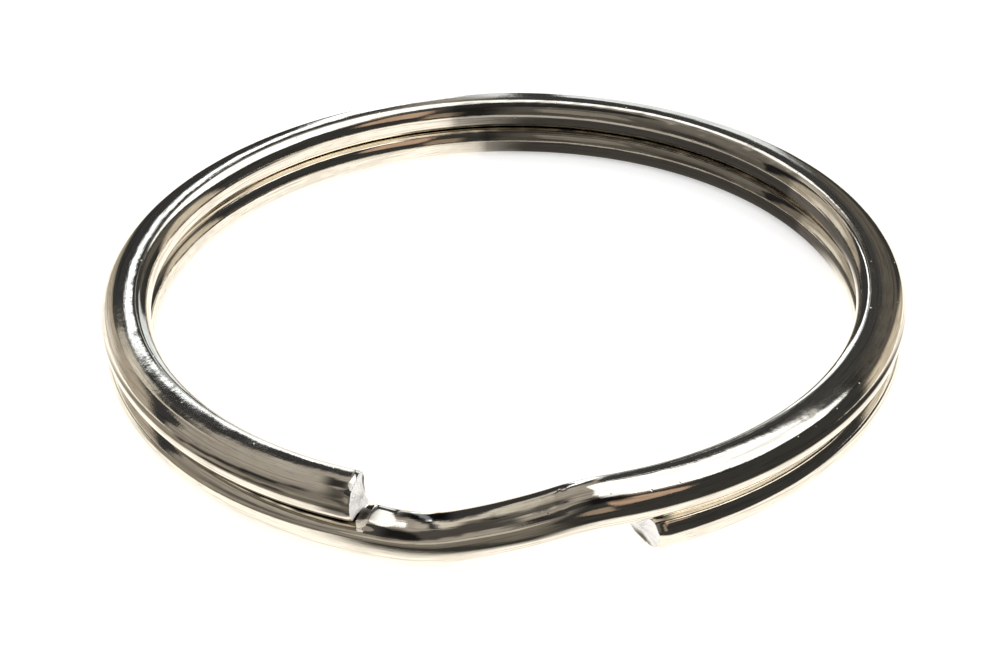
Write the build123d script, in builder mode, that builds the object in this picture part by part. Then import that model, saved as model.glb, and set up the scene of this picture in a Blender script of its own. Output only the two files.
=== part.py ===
"""Split ring: flattened spring wire, coiled almost twice round, with a joggle and two sheared ends.

The wire starts at a sheared end in front, runs once round on the table, climbs one wire's height
in a short S-shaped joggle, and runs round again on top of itself to a second sheared end. The
origin is the centre of the ring on the face it rests on, +Z is the ring's axis, and the joggle
faces -Y. Angles are counted counter-clockwise seen from above, as the wire climbs.
"""
import os
from math import cos, degrees, radians, sin

from build123d import *

# Driving dimensions, in millimetres and degrees
outer_diameter = 25.0
wire_width = 1.5  # across the wire, from the inside of the ring to the outside
wire_thickness = 1.05  # of the wire, along the ring's axis
land_width = 0.45  # flat rolled onto the top and the bottom of the wire
coil_gap = 0.03  # clearance between the two closed coils
joggle_arc = 26.0  # how far round the ring the wire takes to climb
joggle_lead = 13.0  # from the foot of the joggle to the front of the ring
joggle_bend = 0.25  # share of the joggle that each of its two bends takes
upper_end_gap = 6.4  # from the upper sheared end to the foot of the joggle
lower_end_gap = 4.6  # from the top of the joggle to the lower sheared end
upper_shear = 8.0  # how far askew the upper end is sheared
lower_shear = 15.0  # and the lower one
end_chamfer = 0.08  # off the edges of the sheared ends, from tumbling before the plating
joggle_sections = 11  # sections that the joggle is shaped through
tip_sections = 3  # sections that each tip is shaped through, from square to askew

# Worked out from the driving dimensions
pitch = wire_thickness + coil_gap
centre_radius = (outer_diameter - wire_width) / 2
lower_height = wire_thickness / 2  # of the centre line of each coil
upper_height = lower_height + pitch
joggle_foot = -90 - joggle_lead
joggle_top = joggle_foot + joggle_arc
upper_end = joggle_foot - upper_end_gap + 360
lower_end = joggle_top + lower_end_gap - 360
tip_arc = degrees(wire_width / centre_radius)  # last stretch of each coil, as long as the wire is wide


def outward(angle):
    """Level direction that points out of the ring at this angle round it."""
    return Vector(cos(radians(angle)), sin(radians(angle)), 0)


def along(angle):
    """Level direction of the wire at this angle."""
    return outward(angle + 90)


def wire_centre(angle, height):
    """Point on the centre line of the wire at this angle and height."""
    return outward(angle) * centre_radius + Vector(0, 0, height)


def climb(share):
    """Height that the wire has gained at this share of the joggle, and how fast it climbs there.

    It bends up off the lower coil, rises evenly and bends level onto the upper one.
    """
    bend = 2 * joggle_bend * (1 - joggle_bend)
    if share < joggle_bend:
        return pitch * share**2 / bend, pitch * 2 * share / bend
    if share > 1 - joggle_bend:
        return pitch * (1 - (1 - share) ** 2 / bend), pitch * 2 * (1 - share) / bend
    return pitch * (share - joggle_bend / 2) / (1 - joggle_bend), pitch / (1 - joggle_bend)


def wire_section(point, heading, askew=0.0):
    """Section of the wire, rolled flat above and below with bulging edges.

    It stands square to the heading, or is turned askew by an angle and widened to suit.
    """
    turn = radians(askew)
    out = Vector(point.X, point.Y, 0).normalized()
    across = out * cos(turn) + heading * sin(turn)
    land = land_width / 2 / cos(turn)
    pull = (wire_width - land_width) / 2 / cos(turn) * 4 / 3  # brings each bulge out to the width
    edge = land + pull
    height = wire_thickness / 2
    with BuildSketch(Plane(point, x_dir=across, z_dir=out * sin(turn) - heading * cos(turn))) as section:
        with BuildLine():
            Line((-land, height), (land, height))
            Bezier((land, height), (edge, height), (edge, -height), (land, -height))
            Line((land, -height), (-land, -height))
            Bezier((-land, -height), (-edge, -height), (-edge, height), (-land, height))
        make_face()
    return section.sketch


def joggle_section(share):
    """Section of the wire at this share of the joggle, square to its climb."""
    angle = joggle_foot + joggle_arc * share
    height, rate = climb(share)
    heading = along(angle) + Vector(0, 0, rate / (centre_radius * radians(joggle_arc)))
    return wire_section(wire_centre(angle, lower_height + height), heading.normalized())


def tip(square, end, height, shear):
    """Sections of a coil's last stretch, from one square to the wire to the askew sheared end."""
    shares = [index / (tip_sections - 1) for index in range(tip_sections)]
    angles = [square + (end - square) * share for share in shares]
    return [
        wire_section(wire_centre(angle, height), along(angle), shear * share)
        for angle, share in zip(angles, shares)
    ]


with BuildPart() as split_ring:
    # The lower coil, from the foot of the joggle back to its tip
    revolve(joggle_section(0), Axis.Z, lower_end + tip_arc - joggle_foot)
    loft(tip(lower_end + tip_arc, lower_end, lower_height, lower_shear))

    # The upper coil, from the top of the joggle on to its tip
    revolve(joggle_section(1), Axis.Z, upper_end - tip_arc - joggle_top)
    loft(tip(upper_end - tip_arc, upper_end, upper_height, upper_shear))

    # The joggle, through sections square to the climbing wire
    loft([joggle_section(index / (joggle_sections - 1)) for index in range(joggle_sections)])

    # The edges of both sheared ends, which are the only upright flat faces
    sheared = split_ring.faces().filter_by(GeomType.PLANE).filter_by(Axis.Z, reverse=True)
    chamfer(sheared.edges(), end_chamfer)

split_ring.part.label = "split_ring"

os.makedirs("parts", exist_ok=True)
export_step(split_ring.part, "parts/split_ring.step")

print("stack", pitch + wire_thickness, "inside", outer_diameter - 2 * wire_width, "in mm")
print("section", joggle_section(0).area, "mm2, ring", split_ring.part.volume, "mm3")
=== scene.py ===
# %% [markdown]
# # A split ring in nickel plate
# A split ring is one piece of spring wire, rolled a little flat, wound almost twice round and
# plated. Nearly all of its charm is reflection: the form is simple, so the look comes from the
# exact bend of the joggle, the torn sheared ends and the fine lines that the die left along the
# wire. The ring lies on a pale table, and one unit of the scene is a metre.

from math import cos, exp, pi, radians, sin, tan

import bmesh
import bpy
from mathutils import Matrix, Vector, noise


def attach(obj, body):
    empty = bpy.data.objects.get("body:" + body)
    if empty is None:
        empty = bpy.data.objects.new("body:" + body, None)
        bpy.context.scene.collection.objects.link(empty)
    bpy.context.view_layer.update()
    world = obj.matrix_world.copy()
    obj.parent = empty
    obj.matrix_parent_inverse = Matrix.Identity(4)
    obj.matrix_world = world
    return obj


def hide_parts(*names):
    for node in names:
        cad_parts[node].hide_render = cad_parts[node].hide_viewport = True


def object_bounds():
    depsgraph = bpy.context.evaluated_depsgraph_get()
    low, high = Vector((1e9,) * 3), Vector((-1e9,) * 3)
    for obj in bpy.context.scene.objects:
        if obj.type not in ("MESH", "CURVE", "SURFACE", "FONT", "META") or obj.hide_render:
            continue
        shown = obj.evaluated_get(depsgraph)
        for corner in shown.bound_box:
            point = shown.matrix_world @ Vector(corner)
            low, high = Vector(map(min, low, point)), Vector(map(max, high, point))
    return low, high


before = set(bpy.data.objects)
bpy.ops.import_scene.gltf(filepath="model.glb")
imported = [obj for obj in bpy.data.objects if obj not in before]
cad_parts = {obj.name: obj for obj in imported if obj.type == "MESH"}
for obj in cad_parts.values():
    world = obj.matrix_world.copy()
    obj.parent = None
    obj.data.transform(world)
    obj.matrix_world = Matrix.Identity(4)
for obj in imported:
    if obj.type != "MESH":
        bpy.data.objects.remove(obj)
cad_low, cad_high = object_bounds()
mm = 0.001
outer_radius = (cad_high.x - cad_low.x) / 2
stack_height = cad_high.z - cad_low.z
print("ring", round(2 * outer_radius / mm, 2), "mm across and", round(stack_height / mm, 2), "mm high")

# %% [markdown]
# ## The sizes that shape the wire
# The coil is measured from its two sheared ends to its joggle, the short S-shaped climb where the
# wire steps from the lower coil onto the upper one. Angles run counter-clockwise seen from above,
# and the front of the ring is at -90 degrees. Naming each size once keeps every later step honest:
# the wire, its ends and its marks all read the same few values.

# %% Sizes of the wire
wire_width = 1.5 * mm  # across, from the inside of the ring to the outside
land_width = 0.45 * mm  # the flat that rolling leaves on top and underneath
land_crown = 0.008 * mm  # how far the rolls leave it domed
coil_gap = 0.03 * mm
wire_thickness = (stack_height - coil_gap) / 2
pitch = wire_thickness + coil_gap
centre_radius = outer_radius - wire_width / 2

joggle_arc = radians(26)
joggle_foot = radians(-103)
joggle_bend = 0.25  # share of the joggle that each of its two bends takes
upper_end = joggle_foot - radians(6.4) + 2 * pi
lower_end = joggle_foot + joggle_arc + radians(4.6) - 2 * pi
upper_shear, lower_shear = radians(8), radians(15)

wire_length = (upper_end - lower_end) * centre_radius
print("wire", round(wire_length / mm, 1), "mm long and", round(wire_thickness / mm, 3), "mm thick")

# %% [markdown]
# ## The rolled section
# Round wire that passes between two flat rolls gets a flat land above and below, and its sides
# bulge out in an even curve. A circle is the natural start, because that is what the wire was:
# each of its points is then pressed to its place, on a land or on a bulge. The outer bulge shows
# most, so it gets the most points.

# %% Press a circle into the rolled section
land_steps, outer_steps, inner_steps = 8, 44, 22  # points on each land and on the two bulges


def bulge(share):
    """Point on a bulge, from the top land (0) to the bottom one (1)."""
    pull = (wire_width - land_width) / 2 * 4 / 3
    edge = land_width / 2
    rest = 1 - share
    across = edge * (rest ** 3 + share ** 3) + (edge + pull) * 3 * rest * share
    fall = rest ** 3 + 3 * rest ** 2 * share - 3 * rest * share ** 2 - share ** 3
    return across, (wire_thickness / 2 - land_crown) * fall


def land(share):
    """Point on the top land, from its outer edge (0) to its inner one (1)."""
    across = land_width * (0.5 - share)
    return across, wire_thickness / 2 - land_crown * (2 * across / land_width) ** 2


# from under the wire's outer edge, up the outer bulge and on round
outer_bulge = [bulge(1 - step / outer_steps) for step in range(outer_steps)]
top_land = [land(step / land_steps) for step in range(land_steps)]
inner_bulge = [(-x, y) for x, y in (bulge(step / inner_steps) for step in range(inner_steps))]
bottom_land = [(x, -y) for x, y in (land(1 - step / land_steps) for step in range(land_steps))]
section = outer_bulge + top_land + inner_bulge + bottom_land

wire = bmesh.new()
along_layer = wire.verts.layers.float.new("along")
round_layer = wire.verts.layers.float.new("round")
torn_layer = wire.verts.layers.float.new("torn")
streaks_and_shade_layer = wire.verts.layers.float.new("streaks_and_shade")
point_layer = wire.verts.layers.int.new("point")
start = bmesh.ops.create_circle(wire, segments=len(section), radius=wire_width / 2)["verts"]
girth, last = 0.0, None
for index, (vert, (across, height)) in enumerate(zip(start, section)):
    vert.co = (0, -across, height)
    girth += (vert.co - last).length if last else 0.0
    last = vert.co.copy()
    vert[round_layer], vert[point_layer] = girth, index
girth += (start[0].co - last).length
print("girth of the wire", round(girth / mm, 2), "mm in", len(section), "points")

# %% [markdown]
# ## A straight bar first
# The wire could be spun round the ring at once, but the finish and the marks of the tools run
# along it. So it is drawn out as a straight bar, as it comes off the reel: there, the distance
# along the wire and the distance round it are plain numbers, which become its UV map. The cuts
# crowd together at the joggle, in the middle of the wire, and at the ends, where the marks are.

# %% Draw the section out into a bar
station_count, crowding = 1150, 0.5
drawn = bmesh.ops.extrude_edge_only(wire, edges=wire.edges[:])["geom"]
far = [item for item in drawn if isinstance(item, bmesh.types.BMVert)]
bmesh.ops.translate(wire, verts=far, vec=(wire_length, 0, 0))
lengthwise = [edge for edge in wire.edges if edge.calc_length() > wire_length / 2]
bmesh.ops.subdivide_edges(wire, edges=lengthwise, cuts=station_count - 1, use_grid_fill=True)
for vert in wire.verts:
    share = vert.co.x / wire_length
    vert.co.x = wire_length * (share - crowding * sin(4 * pi * share) / (4 * pi))
print("bar with", len(wire.faces), "faces")

# %% [markdown]
# ## What the tools pressed into the wire
# The rolls, the cam of the joggle and the shear all mark the wire. The lower wire and the joggle
# have a sharper brow along their outer side, and the cam leaves a slanted flat and a few creases
# on the joggle. Each mark is a smooth rise or hollow along the section's own outward direction,
# placed by how far along the wire and how far round it lies. Both are in millimetres: along from
# the lower sheared end, and round from the outer edge of the bottom land, up the outer side.
# Dark strips along the wire, which each point keeps for the plating, are partly die streaks
# and partly painted shade and painted dark reflections.

# %% Press the marks in
foot_along = (joggle_foot - lower_end) * centre_radius / mm
top_along = foot_along + joggle_arc * centre_radius / mm
end_along = wire_length / mm
shoulder = 1.66  # mm round the section to the outer edge of the top land


def smooth(value, start, end):
    """0 before start, 1 after end, smooth between them."""
    share = min(1.0, max(0.0, (value - start) / (end - start)))
    return share * share * (3 - 2 * share)


def bell(away, width):
    """1 in the middle, falling to nothing some way past this width."""
    return exp(-(away / width) ** 2)


def between(value, start, end, edge):
    """1 from start to end, with soft edges."""
    return smooth(value, start - edge, start + edge) * smooth(value, end + edge, end - edge)


def drift(along, start, end, at_start, at_end):
    """Where a mark that runs along the wire lies round it."""
    return at_start + (at_end - at_start) * (along - start) / (end - start)


# how high or deep each mark is, in millimetres
line_height, ridge_height, rise_height = 0.012, 0.050, 0.055
flat_depth, nick_depth, unevenness = 0.026, 0.006, 0.0022


def brow(along, around):
    """A fine line on the outer side of the lower coil, and a broader ridge along the joggle."""
    joggle = smooth(along, foot_along - 7, foot_along - 1)
    joggle *= smooth(along, top_along - 0.4, top_along - 1.6)
    line = line_height * bell(around - 1.30, 0.06) * smooth(along, 34, 22)
    return line + ridge_height * bell(around - 1.17, 0.15) * joggle


def cam_flat(along, around):
    """The slanted flat that the cam leaves on the upper half of the joggle."""
    where = smooth(along, foot_along + 1.9, foot_along + 3.0)
    where *= smooth(along, top_along + 0.2, top_along - 0.9)
    across = min(smooth(around, shoulder + 0.45, shoulder), smooth(around, shoulder - 0.36, shoulder))
    return -flat_depth * across * where


def crease(along, around, start, end, at_start, at_end, width, height):
    """A groove (-) or a weal (+) that runs along the wire and drifts round it."""
    if not start - 0.5 < along < end + 0.5:
        return 0.0
    wander = 0.012 * noise.noise(Vector((along * 1.7, start, at_start * 3)))
    middle = drift(along, start, end, at_start, at_end) + wander
    return height * bell(around - middle, width) * between(along, start, end, 0.3)


creases = (  # start and end along the wire, place round it at each, width, height
    # on the joggle
    (foot_along + 1.4, foot_along + 4.0, 1.50, 1.55, 0.045, -0.009),
    (foot_along + 1.9, foot_along + 4.6, 1.28, 1.25, 0.040, -0.008),
    (foot_along + 0.2, foot_along + 2.6, 1.22, 1.18, 0.035, 0.005),
    (top_along - 0.6, top_along + 3.0, 1.50, 1.56, 0.030, -0.004),
    # on the last stretch of the upper coil, and on the lower coil just before the joggle
    (130.2, 138.4, 1.33, 1.36, 0.040, -0.006),
    (132.0, 139.0, 1.20, 1.24, 0.035, -0.005),
    (55.0, 65.5, 1.02, 1.10, 0.035, -0.005),
)


def relief(along, around):
    """How far the wire stands proud (+) or is pressed in (-) here, in millimetres."""
    height = brow(along, around) + cam_flat(along, around)
    for mark in creases:
        height += crease(along, around, *mark)
    # the cam's edge leaves a nick across the joggle
    nick = bell(along - foot_along - 4.0 - 0.1 * around, 0.07)
    height -= nick_depth * nick * between(around, 1.4, 2.2, 0.1)
    # where the upper end was cut off above it, the lower coil is left a little high and falls away
    rise = smooth(along, foot_along - 1.2, foot_along - 0.95)
    fall = smooth(along, foot_along - 0.25, foot_along - 1.0)
    height += rise_height * rise * fall * between(around, 1.4, 2.4, 0.1)
    # the winder's rolls leave a faint unevenness
    return height + unevenness * noise.noise(Vector((along * 1.1, around * 1.5, 4.2)))


dark_strips = (  # start and end along the wire, place round it at each, half the width, strength
    # on the joggle and at its foot
    (foot_along - 0.5, foot_along + 3.1, 1.36, 1.50, 0.15, 0.85),
    (foot_along + 2.6, foot_along + 4.0, 1.31, 1.26, 0.05, 0.5),
    (foot_along - 0.3, foot_along + 1.3, 2.10, 2.08, 0.15, 0.95),
    (foot_along + 1.6, foot_along + 4.3, 1.60, 1.645, 0.095, 0.85),
    (foot_along + 4.6, foot_along + 5.7, 1.42, 1.36, 0.10, 0.9),
    (foot_along - 1.3, foot_along - 0.85, 1.85, 1.85, 0.30, 0.95),
    # near the two sheared ends
    (end_along - 0.75, end_along - 0.05, 1.64, 1.60, 0.15, 0.97),
    (end_along - 0.60, end_along - 0.05, 1.30, 1.24, 0.20, 0.75),
    (end_along - 0.75, end_along - 0.02, 0.82, 0.80, 0.12, 0.65),
    (0.1, 0.5, 1.45, 1.45, 0.16, 0.8),
    # painted shade on the inside wall of both coils at the back right
    (end_along - 46.0, end_along - 31.0, 2.88, 2.88, 0.62, 0.62),
    (19.5, 34.0, 2.88, 2.88, 0.62, 0.62),
    # lines along the outer side, and painted shade on the lower coil in the seam under the upper coil
    (end_along - 5.45, end_along - 1.1, 1.06, 1.20, 0.035, 0.85),
    (end_along - 4.6, end_along - 1.7, 0.935, 0.99, 0.03, 0.8),
    (top_along + 3.0, top_along + 18.0, 1.59, 1.57, 0.02, 0.4),
    (foot_along - 22.0, foot_along - 1.4, 1.475, 1.475, 0.075, 1.0),
)


def dark_strip(along, around, start, end, at_start, at_end, half, strength):
    """A dark strip along the wire with a ragged edge: die streaks, painted shade and painted dark
    reflections.
    """
    if not start - 0.5 < along < end + 0.5:
        return 0.0
    away = abs(around - drift(along, start, end, at_start, at_end)) / half
    away += 0.45 * noise.noise(Vector((along * 2.3, around * 9, start)))
    return strength * smooth(away, 1.15, 0.75) * between(along, start, end, 0.25)


section_normals = []
for index, (across, height) in enumerate(section):
    before, after = section[index - 1], section[(index + 1) % len(section)]
    section_normals.append(Vector((0, -(after[1] - before[1]), -(after[0] - before[0]))).normalized())
for vert in wire.verts:
    along, around = vert.co.x / mm, vert[round_layer] / mm
    vert.co += section_normals[vert[point_layer]] * relief(along, around) * mm
    # each point keeps its darkest strip: die streaks, painted shade and painted dark reflections
    vert[streaks_and_shade_layer] = max(dark_strip(along, around, *mark) for mark in dark_strips)
print("joggle from", round(foot_along, 1), "to", round(top_along, 1), "mm along the wire")

# %% [markdown]
# ## The sheared ends
# A shear cuts the wire askew: the blade drags the skin of the wire over, bites, and the rest tears
# off. So the last stretch is rolled over a little, and the face behind it is torn. The face is
# drawn in, ring by ring, from the rim of the bar, which gives it enough points for its facets.

# %% Close the ends
lower_rolled, upper_rolled = (0.32 * mm, 0.09), (0.12 * mm, 0.035)  # how far back, and share of the size
face_rings = (0.96, 0.9, 0.82, 0.73, 0.64, 0.55, 0.46, 0.37, 0.28, 0.19, 0.1)


def rolled_over(from_end, length, share):
    """Share of the wire's size that is lost this far from a sheared end."""
    return share * max(0.0, 1 - from_end / length) ** 2


for vert in wire.verts:
    size = 1 - rolled_over(vert.co.x, *lower_rolled) - rolled_over(wire_length - vert.co.x, *upper_rolled)
    vert.co.y, vert.co.z = vert.co.y * size, vert.co.z * size


def close_end(at):
    """Closes the bar at one end and returns the points of that face."""
    rims = [edge for edge in wire.edges if edge.is_boundary]
    edges = [edge for edge in rims if all(abs(vert.co.x - at) < 1e-6 for vert in edge.verts)]
    for edge in edges:
        edge.smooth = False
    size, points = 1.0, []
    for smaller in face_rings:
        grown = bmesh.ops.extrude_edge_only(wire, edges=edges)["geom"]
        rim = [item for item in grown if isinstance(item, bmesh.types.BMVert)]
        bmesh.ops.scale(wire, verts=rim, vec=(1, smaller / size, smaller / size))
        edges = [item for item in grown if isinstance(item, bmesh.types.BMEdge) and item.is_boundary]
        size = smaller
        points += rim
    last_face = bmesh.ops.edgeloop_fill(wire, edges=edges)["faces"]
    points += bmesh.ops.poke(wire, faces=last_face)["verts"]
    for vert in points:
        vert[torn_layer] = 1
    return points


lower_face, upper_face = close_end(0.0), close_end(wire_length)
bmesh.ops.recalc_face_normals(wire, faces=wire.faces[:])
for vert in wire.verts:
    vert[along_layer] = vert.co.x
print("points on the two sheared faces", len(lower_face), len(upper_face))

# %% [markdown]
# ## Torn faces
# Where the wire tears it leaves lumps, hollows and a broken grain, and its deepest places get
# painted shade. Lumps are smooth bells on the face, and the grain is noise with a fixed place.
# Then the last stretch of each coil is leaned over to the angle of its shear.

# %% Tear the faces
# the hollows of the torn faces get painted shade
hollow_shade = 0.95  # how dark the darkest place of a torn face is
rim_share = 0.12  # share of the half width over which the tearing sets in


def lump(y, z, at_y, at_z, wide, high):
    """A smooth lump on a face, 1 at its middle."""
    return bell(y / mm - at_y, wide) * bell(z / mm - at_z, high)


def tear(points, outward, lumps, darks, roughness, seed):
    """Pushes the points of a torn face out of it (+) and into it (-), by lumps and by broken grain.

    A lump is its height, its place on the face and its two half widths, and a dark is a spot of
    painted shade in a hollow, given by its place and its two half widths, all in millimetres.
    """
    for vert in points:
        y, z = vert.co.y, vert.co.z
        from_rim = 1 - max(abs(y) / (wire_width / 2), abs(z) / (wire_thickness / 2))
        coarse = noise.noise(Vector((y / mm * 3 + seed, z / mm * 3, seed)))
        fine = noise.noise(Vector((y / mm * 8, z / mm * 8 + seed, seed)))
        broken = coarse + 0.5 * fine
        # painted shade in the deepest places of the torn face
        vert[streaks_and_shade_layer] = hollow_shade * max(lump(y + 0.06 * broken * mm, z, *dark) for dark in darks) ** 0.5
        push = roughness * broken + sum(height * lump(y, z, *shape) for height, *shape in lumps)
        vert.co.x += outward * push * mm * min(1.0, max(0.0, from_rim) / rim_share)


upper_lumps = (
    (0.22, 0.20, -0.30, 0.36, 0.17),
    (0.16, 0.05, 0.12, 0.30, 0.34),
    (-0.10, -0.38, -0.05, 0.2, 0.3),
)
lower_lumps = (
    (0.06, 0.1, 0.1, 0.5, 0.4),
    (-0.10, 0.50, 0.20, 0.14, 0.2),
    (-0.07, 0.1, -0.38, 0.3, 0.1),
)
tear(upper_face, 1, upper_lumps, [(0.62, 0.05, 0.10, 0.3)], 0.07, 3.1)
tear(lower_face, -1, lower_lumps, [(0.1, -0.45, 0.5, 0.07), (0.70, 0.0, 0.07, 0.4)], 0.05, 7.7)

tip_length = wire_width
for vert in wire.verts:
    for from_end, shear in ((vert.co.x, lower_shear), (wire_length - vert.co.x, upper_shear)):
        vert.co.x += -vert.co.y * tan(shear) * max(0.0, min(1.0, 1 - from_end / tip_length))
reach = [vert.co.x for vert in wire.verts]
print("sheared wire", round((max(reach) - min(reach)) / mm, 2), "mm from tip to tip")

# %% [markdown]
# ## Wind the bar
# The winder wraps the wire round a mandrel and a cam presses the joggle into it. Here each point
# is carried from the bar to the coil: how far along it lies becomes an angle, and the climb has
# two even bends with a straight rise between them. The section stays square to the climbing wire.

# %% Wind it onto the ring
def climb(share):
    """Share of the pitch gained at this share of the joggle, and the rate of climb."""
    bend = 2 * joggle_bend * (1 - joggle_bend)
    share = min(1.0, max(0.0, share))
    if share < joggle_bend:
        return share ** 2 / bend, 2 * share / bend
    if share > 1 - joggle_bend:
        return 1 - (1 - share) ** 2 / bend, 2 * (1 - share) / bend
    return (share - joggle_bend / 2) / (1 - joggle_bend), 1 / (1 - joggle_bend)


def wound(point):
    """Where a point of the straight bar lies on the ring."""
    angle = lower_end + point.x / centre_radius
    height, rate = climb((angle - joggle_foot) / joggle_arc)
    out = Vector((cos(angle), sin(angle), 0))
    heading = Vector((-sin(angle), cos(angle), rate * pitch / (joggle_arc * centre_radius))).normalized()
    centre = out * centre_radius + Vector((0, 0, wire_thickness / 2 + height * pitch))
    return centre - out * point.y + out.cross(heading) * point.z


for vert in wire.verts:
    vert.co = wound(vert.co)

uv_layer = wire.loops.layers.uv.new("wire_wrap")
for face in wire.faces:
    face.smooth = True
    rounds = [vert[round_layer] for vert in face.verts]
    seam = max(rounds) - min(rounds) > girth / 2
    for loop in face.loops:
        around = loop.vert[round_layer]
        if seam and around < girth / 2:
            around += girth
        loop[uv_layer].uv = (loop.vert[along_layer] / mm, around / mm)

ring_mesh = bpy.data.meshes.new("wound_wire")
wire.to_mesh(ring_mesh)
wire.free()
ring = bpy.data.objects.new("wound_wire", ring_mesh)
bpy.context.scene.collection.objects.link(ring)
print("wound wire", len(ring_mesh.polygons), "faces")

# %% [markdown]
# ## Steps for building surfaces
# The plating, the table and the studio are all built from the same few steps: a vector or a number
# that is worked on, a fade between two values, and one colour laid over another where a mask says.

# %% Steps for surfaces
def material(name):
    """A new material with nothing in it yet, and its nodes."""
    new = bpy.data.materials.new(name)
    new.use_nodes = True
    new.node_tree.nodes.clear()
    return new, new.node_tree.nodes


def put(slot, value):
    """Sets a slot to a value, or links it to an earlier step."""
    if isinstance(value, bpy.types.NodeSocket):
        slot.id_data.links.new(value, slot)
    else:
        slot.default_value = value


def vector_step(operation, *values):
    """One step of vector arithmetic."""
    node = nodes.new("ShaderNodeVectorMath")
    node.operation = operation
    for slot, value in zip(node.inputs, values):
        put(slot, value)
    return node


def number_step(operation, *values):
    """One step of plain arithmetic."""
    node = nodes.new("ShaderNodeMath")
    node.operation = operation
    for slot, value in zip(node.inputs, values):
        put(slot, value)
    return node.outputs[0]


def fade(value, start, end):
    """0 before start, 1 after end, smooth between them."""
    node = nodes.new("ShaderNodeMapRange")
    node.interpolation_type = "SMOOTHSTEP"
    put(node.inputs["Value"], value)
    put(node.inputs["From Min"], min(start, end))
    put(node.inputs["From Max"], max(start, end))
    if start > end:
        put(node.inputs["To Min"], 1)
        put(node.inputs["To Max"], 0)
    return node.outputs["Result"]


def cover(below, colour, mask):
    """Lays one colour over another where the mask says."""
    node = nodes.new("ShaderNodeMix")
    node.data_type = "RGBA"
    put(node.inputs["Factor"], mask)
    put(node.inputs[6], below)
    put(node.inputs[7], (*colour, 1) if isinstance(colour, tuple) else colour)
    return node.outputs[2]


def joined(kind, *steps):
    """Two shaders mixed or added: a mix has its share first."""
    node = nodes.new(kind)
    for slot, step in zip(node.inputs, steps):
        put(slot, step)
    return node.outputs[0]


def show(kind, shader):
    """Makes a shader what the material or the world shows."""
    put(nodes.new(kind).inputs["Surface"], shader)


# %% [markdown]
# ## Nickel plate
# Bright nickel is a little warm, and keeps whatever the steel under it looked like. The die drew
# fine lines along the wire, so the noise is stretched along its UV map. A slight ripple makes the
# edges of the reflections ragged, tumbling left small pits, and the torn ends are matt and pale.

# %% Nickel plate
nickel, nodes = material("nickel_plate")
wrap = nodes.new("ShaderNodeUVMap")
wrap.uv_map = "wire_wrap"


def painted(name):
    """A value that the points of the wire carry."""
    node = nodes.new("ShaderNodeAttribute")
    node.attribute_name = name
    return node.outputs["Fac"]


def grain(per_mm_along, per_mm_round, detail, shift=0.0):
    """Noise on the wire, stretched along it or not."""
    node = nodes.new("ShaderNodeTexNoise")
    node.noise_dimensions = "2D"
    stretch = (per_mm_along, per_mm_round, 1)
    place = vector_step("MULTIPLY_ADD", wrap.outputs["UV"], stretch, (shift, shift, 0))
    put(node.inputs["Vector"], place.outputs["Vector"])
    put(node.inputs["Scale"], 1)
    put(node.inputs["Detail"], detail)
    return node.outputs[0]


torn, streaks_and_shade = painted("torn"), painted("streaks_and_shade")
lines = grain(0.30, 13, 4)  # die lines, millimetres long
hairs = grain(1.6, 36, 2, 5)  # fine hairlines
ripple = grain(3.4, 4.6, 3, 11)  # the faint unevenness that makes reflections ragged
speckle = grain(24, 24, 2, 17)  # the finest orange peel of the plate
cloud = grain(0.5, 1.5, 3, 23)  # slow changes of tone

pits = nodes.new("ShaderNodeTexVoronoi")
pits.voronoi_dimensions = "2D"
put(pits.inputs["Vector"], wrap.outputs["UV"])
put(pits.inputs["Scale"], 1.3)
chosen = fade(pits.outputs["Color"], 0.62, 0.68)
pit = number_step("MULTIPLY", fade(pits.outputs["Distance"], 0.048, 0.0), chosen)

height = number_step("MULTIPLY", lines, 0.0007)
height = number_step("MULTIPLY_ADD", hairs, 0.00035, height)
height = number_step("MULTIPLY_ADD", ripple, 0.0012, height)
split = nodes.new("ShaderNodeSeparateXYZ")
put(split.inputs[0], wrap.outputs["UV"])
on_the_side = fade(split.outputs[1], 1.75, 1.55)  # the rolls leave the lands smoother
peel = number_step("MULTIPLY_ADD", on_the_side, 0.00035, 0.00010)
height = number_step("MULTIPLY_ADD", speckle, peel, height)
height = number_step("MULTIPLY_ADD", pit, -0.004, height)
height = number_step("MULTIPLY_ADD", number_step("MULTIPLY", grain(9, 9, 4, 31), torn), 0.05, height)
bump = nodes.new("ShaderNodeBump")
put(bump.inputs["Height"], height)
put(bump.inputs["Distance"], mm)

tone = cover((0.80, 0.755, 0.675, 1), (0.58, 0.54, 0.475), fade(lines, 0.52, 0.66))
tone = cover(tone, (0.68, 0.635, 0.56), fade(cloud, 0.45, 0.7))
tone = cover(tone, (0.45, 0.42, 0.37), number_step("MULTIPLY", fade(hairs, 0.60, 0.72), 0.6))
tone = cover(tone, (1.0, 0.985, 0.96), torn)
# the dark strips and the torn faces' hollows: painted shade and dark reflections, with die streaks
tone = cover(tone, (0.045, 0.043, 0.04), streaks_and_shade)

shader = nodes.new("ShaderNodeBsdfPrincipled")
put(shader.inputs["Base Color"], tone)
bare = number_step("MULTIPLY", torn, number_step("SUBTRACT", 1, streaks_and_shade))
put(shader.inputs["Metallic"], number_step("MULTIPLY_ADD", bare, -0.85, 1))
matt = number_step("MULTIPLY_ADD", fade(cloud, 0.4, 0.7), 0.04, 0.04)
put(shader.inputs["Roughness"], number_step("MULTIPLY_ADD", torn, 0.3, matt))
put(shader.inputs["Normal"], bump.outputs[0])
show("ShaderNodeOutputMaterial", shader.outputs[0])
ring_mesh.materials.append(nickel)

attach(ring, "root")
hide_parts("split_ring")
print("nickel plate in", len(nodes), "steps")

# %% [markdown]
# ## The studio
# Polished nickel shows only what stands round it. So the studio is painted on the world, in the
# directions seen from the ring: dim walls, a dark beam and a pale wall on the left, bright sheets
# straight behind, and a wide soft window over the right shoulder. Only reflections see it, and
# the bench itself stays evenly white.

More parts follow.
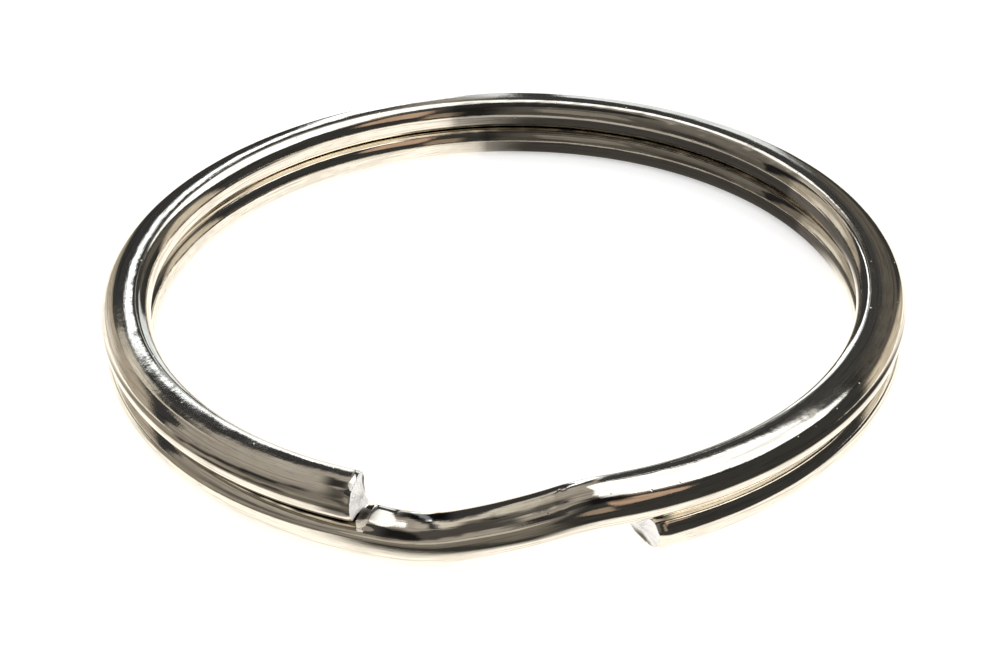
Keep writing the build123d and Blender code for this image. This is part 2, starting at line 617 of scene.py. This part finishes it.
# %% The studio
world = bpy.data.worlds.new("studio")
bpy.context.scene.world = world
world.use_nodes = True
nodes = world.node_tree.nodes
nodes.clear()
direction = nodes.new("ShaderNodeTexCoord").outputs["Generated"]


def toward(azimuth, elevation):
    """Direction from the ring: azimuth 0 is behind it, 90 to its right, 180 the camera's side."""
    a, e = radians(azimuth), radians(elevation)
    return Vector((sin(a) * cos(e), cos(a) * cos(e), sin(e)))


def panel(corners, blur):
    """Mask of a flat panel without hollows, from the directions of its corners in order round it."""
    ends = [toward(*corner) for corner in corners]
    middle = sum(ends, Vector())
    edge = sin(radians(blur))
    mask = None
    for one_end, next_end in zip(ends, ends[1:] + ends[:1]):
        side = one_end.cross(next_end).normalized()
        if side.dot(middle) < 0:
            side.negate()
        inside = fade(vector_step("DOT_PRODUCT", direction, side).outputs["Value"], -edge, edge)
        mask = inside if mask is None else number_step("MULTIPLY", mask, inside)
    return mask


def patch(azimuth, elevation, size, blur):
    """Mask of a round patch of this angular radius."""
    facing = vector_step("DOT_PRODUCT", direction, toward(azimuth, elevation)).outputs["Value"]
    return fade(facing, cos(radians(size + blur)), cos(radians(size - blur)))


def hang(below, *panels):
    """Hangs panels one over another. Each is its colour, its corners and its blur in degrees."""
    for colour, corners, blur in panels:
        below = cover(below, colour, panel(corners, blur))
    return below


split = nodes.new("ShaderNodeSeparateXYZ")
put(split.inputs[0], direction)
sideways, behind, upward = split.outputs

# the walls, from the left round to the right, and the ceiling
left = fade(sideways, 0.1, -0.1)
studio = cover((0.27, 0.25, 0.22, 1), (0.045, 0.045, 0.043), fade(sideways, -0.15, 0.1))
studio = cover(studio, (0.20, 0.185, 0.16), number_step("MULTIPLY", fade(behind, -0.85, -0.95), left))
studio = cover(studio, (0.43, 0.40, 0.355), number_step("MULTIPLY", patch(-38, 52, 45, 18), left))
low_wall = [(-132, 50), (-150, 52), (-166, 48), (-166, 22), (-150, 20), (-132, 28)]
studio = hang(studio, ((0.62, 0.57, 0.49), low_wall, 2))
studio = cover(studio, (0.13, 0.12, 0.11), patch(-112, 13, 12, 6))
studio = cover(studio, (0.07, 0.068, 0.065), fade(upward, 0.915, 0.935))

# the left: a dark beam high up, with a pale wall under it
beam = [(-3, 35), (-9, 37.4), (-24, 43), (-42, 46), (-62, 43), (-78, 32), (-84, 10), (-84, -10), (-3, -10)]
studio = hang(
    studio,
    ((0.045, 0.045, 0.047), beam, 1),
    ((0.48, 0.43, 0.355), [(-27, 35.5), (-40, 38.5), (-56, 35), (-70, 26), (-88, -12), (-27, -10)], 2.5),
    ((0.85, 0.80, 0.72), [(-40, 25), (-62, 14), (-62, -10), (-40, -10)], 5),
    ((0.80, 0.76, 0.68), [(-18, 32), (-18, 36), (-25.5, 38.3), (-25.5, 33)], 0.8),
    ((0.72, 0.68, 0.60), [(-22.5, 31), (-29.5, 35), (-31, 45.5), (-26, 45.5)], 1))

# straight behind: a bright sheet with a dark edge
studio = hang(
    studio,
    ((2.0, 2.15, 2.3), [(-17, 33.6), (-9, 31.1), (-3.5, 24.5), (-8.5, 23.5)], 0.5),
    ((2.0, 2.15, 2.3), [(-8.5, 25.5), (-3.5, 25), (-0.5, 14), (-0.3, -12), (-7, -12)], 0.7),
    ((0.50, 0.472, 0.42), [(-18, 38.5), (-10, 38), (-11, 43), (-19, 44.5)], 0.8),
    ((1.0, 1.08, 1.15), [(-1, 29), (12, 29), (18, -10), (-1, -10)], 1.5),
    ((0.055, 0.055, 0.055), [(-1, 36), (20, 36), (20, 30), (7, 23), (0.5, 21)], 0.7),
    ((0.055, 0.055, 0.055), [(0.4, 23), (2.8, 23), (2.8, 4), (0.4, 4)], 0.5))

# the right: a dark room with a tan wall low behind it, and brown things nearer the camera
studio = hang(
    studio,
    ((0.13, 0.12, 0.105), [(14, 31), (22, 37), (40, 38.5), (60, 34), (60, 20), (14, 20)], 2),
    ((0.75, 0.67, 0.54), [(42, 28), (56, 30), (66, 26), (76, 5), (76, -12), (42, -12)], 4),
    ((0.58, 0.41, 0.30), [(120, 66), (121, 48), (128, 37), (150, 30), (152, 50), (140, 71)], 2),
    ((0.36, 0.28, 0.21), [(154, 38), (166, 38), (166, 8), (154, 8)], 2.5),
    ((0.35, 0.27, 0.21), [(60, 64), (86, 60), (100, 64), (92, 76), (60, 76)], 3))

# the soft window over the right shoulder of the bench, in two halves
window = (1.7, 1.75, 1.8)
near_half = [(-8, 44.5), (3.5, 34.5), (9, 35.2), (24, 42), (24, 74), (10, 74), (-4, 58)]
far_half = [(20, 40.3), (42, 42.5), (58, 45), (78, 53.5), (90, 64), (60, 74), (20, 74)]
studio = hang(studio, (window, near_half, 0.7), (window, far_half, 0.8))

# a painted reflection: a bright pale wall low on the right that only rays reflected twice, between the two
# coils, see
paths = nodes.new("ShaderNodeLightPath")
twice = fade(paths.outputs["Ray Depth"], 2.4, 2.6)
twice_reflected_highlight = panel([(92, 52), (140, 52), (150, -10), (85, -10)], 4)
studio = cover(studio, (2.6, 2.5, 2.3), number_step("MULTIPLY", twice, twice_reflected_highlight))

reflected = nodes.new("ShaderNodeBackground")
put(reflected.inputs["Color"], studio)
plain = nodes.new("ShaderNodeBackground")
put(plain.inputs["Color"], (1, 1, 1, 1))
seen = joined("ShaderNodeMixShader", paths.outputs["Is Glossy Ray"], plain.outputs[0], reflected.outputs[0])
show("ShaderNodeOutputWorld", seen)
print("studio in", len(nodes), "steps")

# %% [markdown]
# ## The table
# The ring lies on a white table that keeps its faint shadow. In the metal the table is not white
# all over: round the ring lies a pale spot, dark in front of it and tan to the left.

# %% The table
table = bmesh.new()
bmesh.ops.create_grid(table, x_segments=1, y_segments=1, size=0.5)
table_mesh = bpy.data.meshes.new("table")
table.to_mesh(table_mesh)
table.free()
floor = bpy.data.objects.new("table", table_mesh)
bpy.context.scene.collection.objects.link(floor)

pale, nodes = material("pale_table")
place = nodes.new("ShaderNodeTexCoord").outputs["Object"]
split = nodes.new("ShaderNodeSeparateXYZ")
put(split.inputs[0], place)
rightward, backward = split.outputs[:2]
from_centre = vector_step("LENGTH", place).outputs["Value"]


def mm_fade(value, start, end):
    """A fade between two places given in millimetres."""
    return fade(value, start * mm, end * mm)


def both(one, other):
    """Mask of what lies in both masks."""
    return number_step("MULTIPLY", one, other)


# beyond the pale spot under the ring the table is dark in front and tan on the left; straight in
# front of the joggle the spot ends sooner, in a darker rim
from_front = vector_step("SUBTRACT", place, (-2 * mm, -15.5 * mm, 0)).outputs["Vector"]
in_front = mm_fade(vector_step("LENGTH", from_front).outputs["Value"], 6, 3)
past_front = both(in_front, mm_fade(from_centre, 12.9, 13.9))
past_spot = number_step("ADD", mm_fade(from_centre, 14.0, 15.2), past_front)
past_spot = number_step("MINIMUM", past_spot, 1.0)
beyond = cover((0.36, 0.325, 0.27, 1), (0.20, 0.185, 0.155), mm_fade(rightward, -17, -10))
beyond = cover(beyond, (0.05, 0.048, 0.045), mm_fade(rightward, 0.5, 3))
beyond = cover(beyond, (0.05, 0.048, 0.045), both(in_front, mm_fade(from_centre, 14.9, 14.2)))
look = cover((1.36, 1.31, 1.22, 1), beyond, both(past_spot, mm_fade(backward, 2, -4)))

# the ring's own shade inside it, on the far right
inside = both(mm_fade(from_centre, 4.5, 7), mm_fade(from_centre, 12.0, 11.5))
far_right = both(mm_fade(rightward, -2, 1), mm_fade(backward, 1, 4))
look = cover(look, (0.15, 0.14, 0.13), both(inside, far_right))

# the camera sees a white table with a little light of its own, and the metal sees the look above
paths = nodes.new("ShaderNodeLightPath")
white = nodes.new("ShaderNodeBsdfDiffuse")
put(white.inputs["Color"], (0.9, 0.9, 0.9, 1))
glow = nodes.new("ShaderNodeEmission")
put(glow.inputs["Strength"], 0.42)
lit = joined("ShaderNodeAddShader", white.outputs[0], glow.outputs[0])
mirrored = nodes.new("ShaderNodeEmission")
put(mirrored.inputs["Color"], look)
seen = joined("ShaderNodeMixShader", paths.outputs["Is Glossy Ray"], lit, mirrored.outputs[0])
show("ShaderNodeOutputMaterial", seen)
table_mesh.materials.append(pale)
print("table", round(floor.dimensions.x, 2), "m across in", len(nodes), "steps")

# %% [markdown]
# ## The camera
# It stands in front of the ring and looks down on it from about a third of the way up, close
# enough for the far side to look clearly smaller, and is rolled by about a degree.

# %% The camera
elevation, distance, roll = radians(32.83), 4.133 * outer_radius, radians(-1.2)
eye = Vector((0, -cos(elevation), sin(elevation))) * distance
aim = Vector((-0.010, -0.094, 0)) * outer_radius
forward = (aim - eye).normalized()
right = forward.cross(Vector((0, 0, 1))).normalized()
above = right.cross(forward)
right, above = cos(roll) * right + sin(roll) * above, cos(roll) * above - sin(roll) * right
lens = bpy.data.cameras.new("camera")
lens.lens, lens.sensor_width = 57.66, 36
lens.clip_start, lens.clip_end = 0.001, 10
camera = bpy.data.objects.new("camera", lens)
camera.matrix_world = Matrix((
    (right.x, above.x, -forward.x, eye.x),
    (right.y, above.y, -forward.y, eye.y),
    (right.z, above.z, -forward.z, eye.z),
    (0, 0, 0, 1)))
bpy.context.scene.collection.objects.link(camera)
bpy.context.scene.camera = camera
print("camera", round(distance / mm, 1), "mm from the ring")
bpy.context.scene.view_settings.view_transform = "Standard"
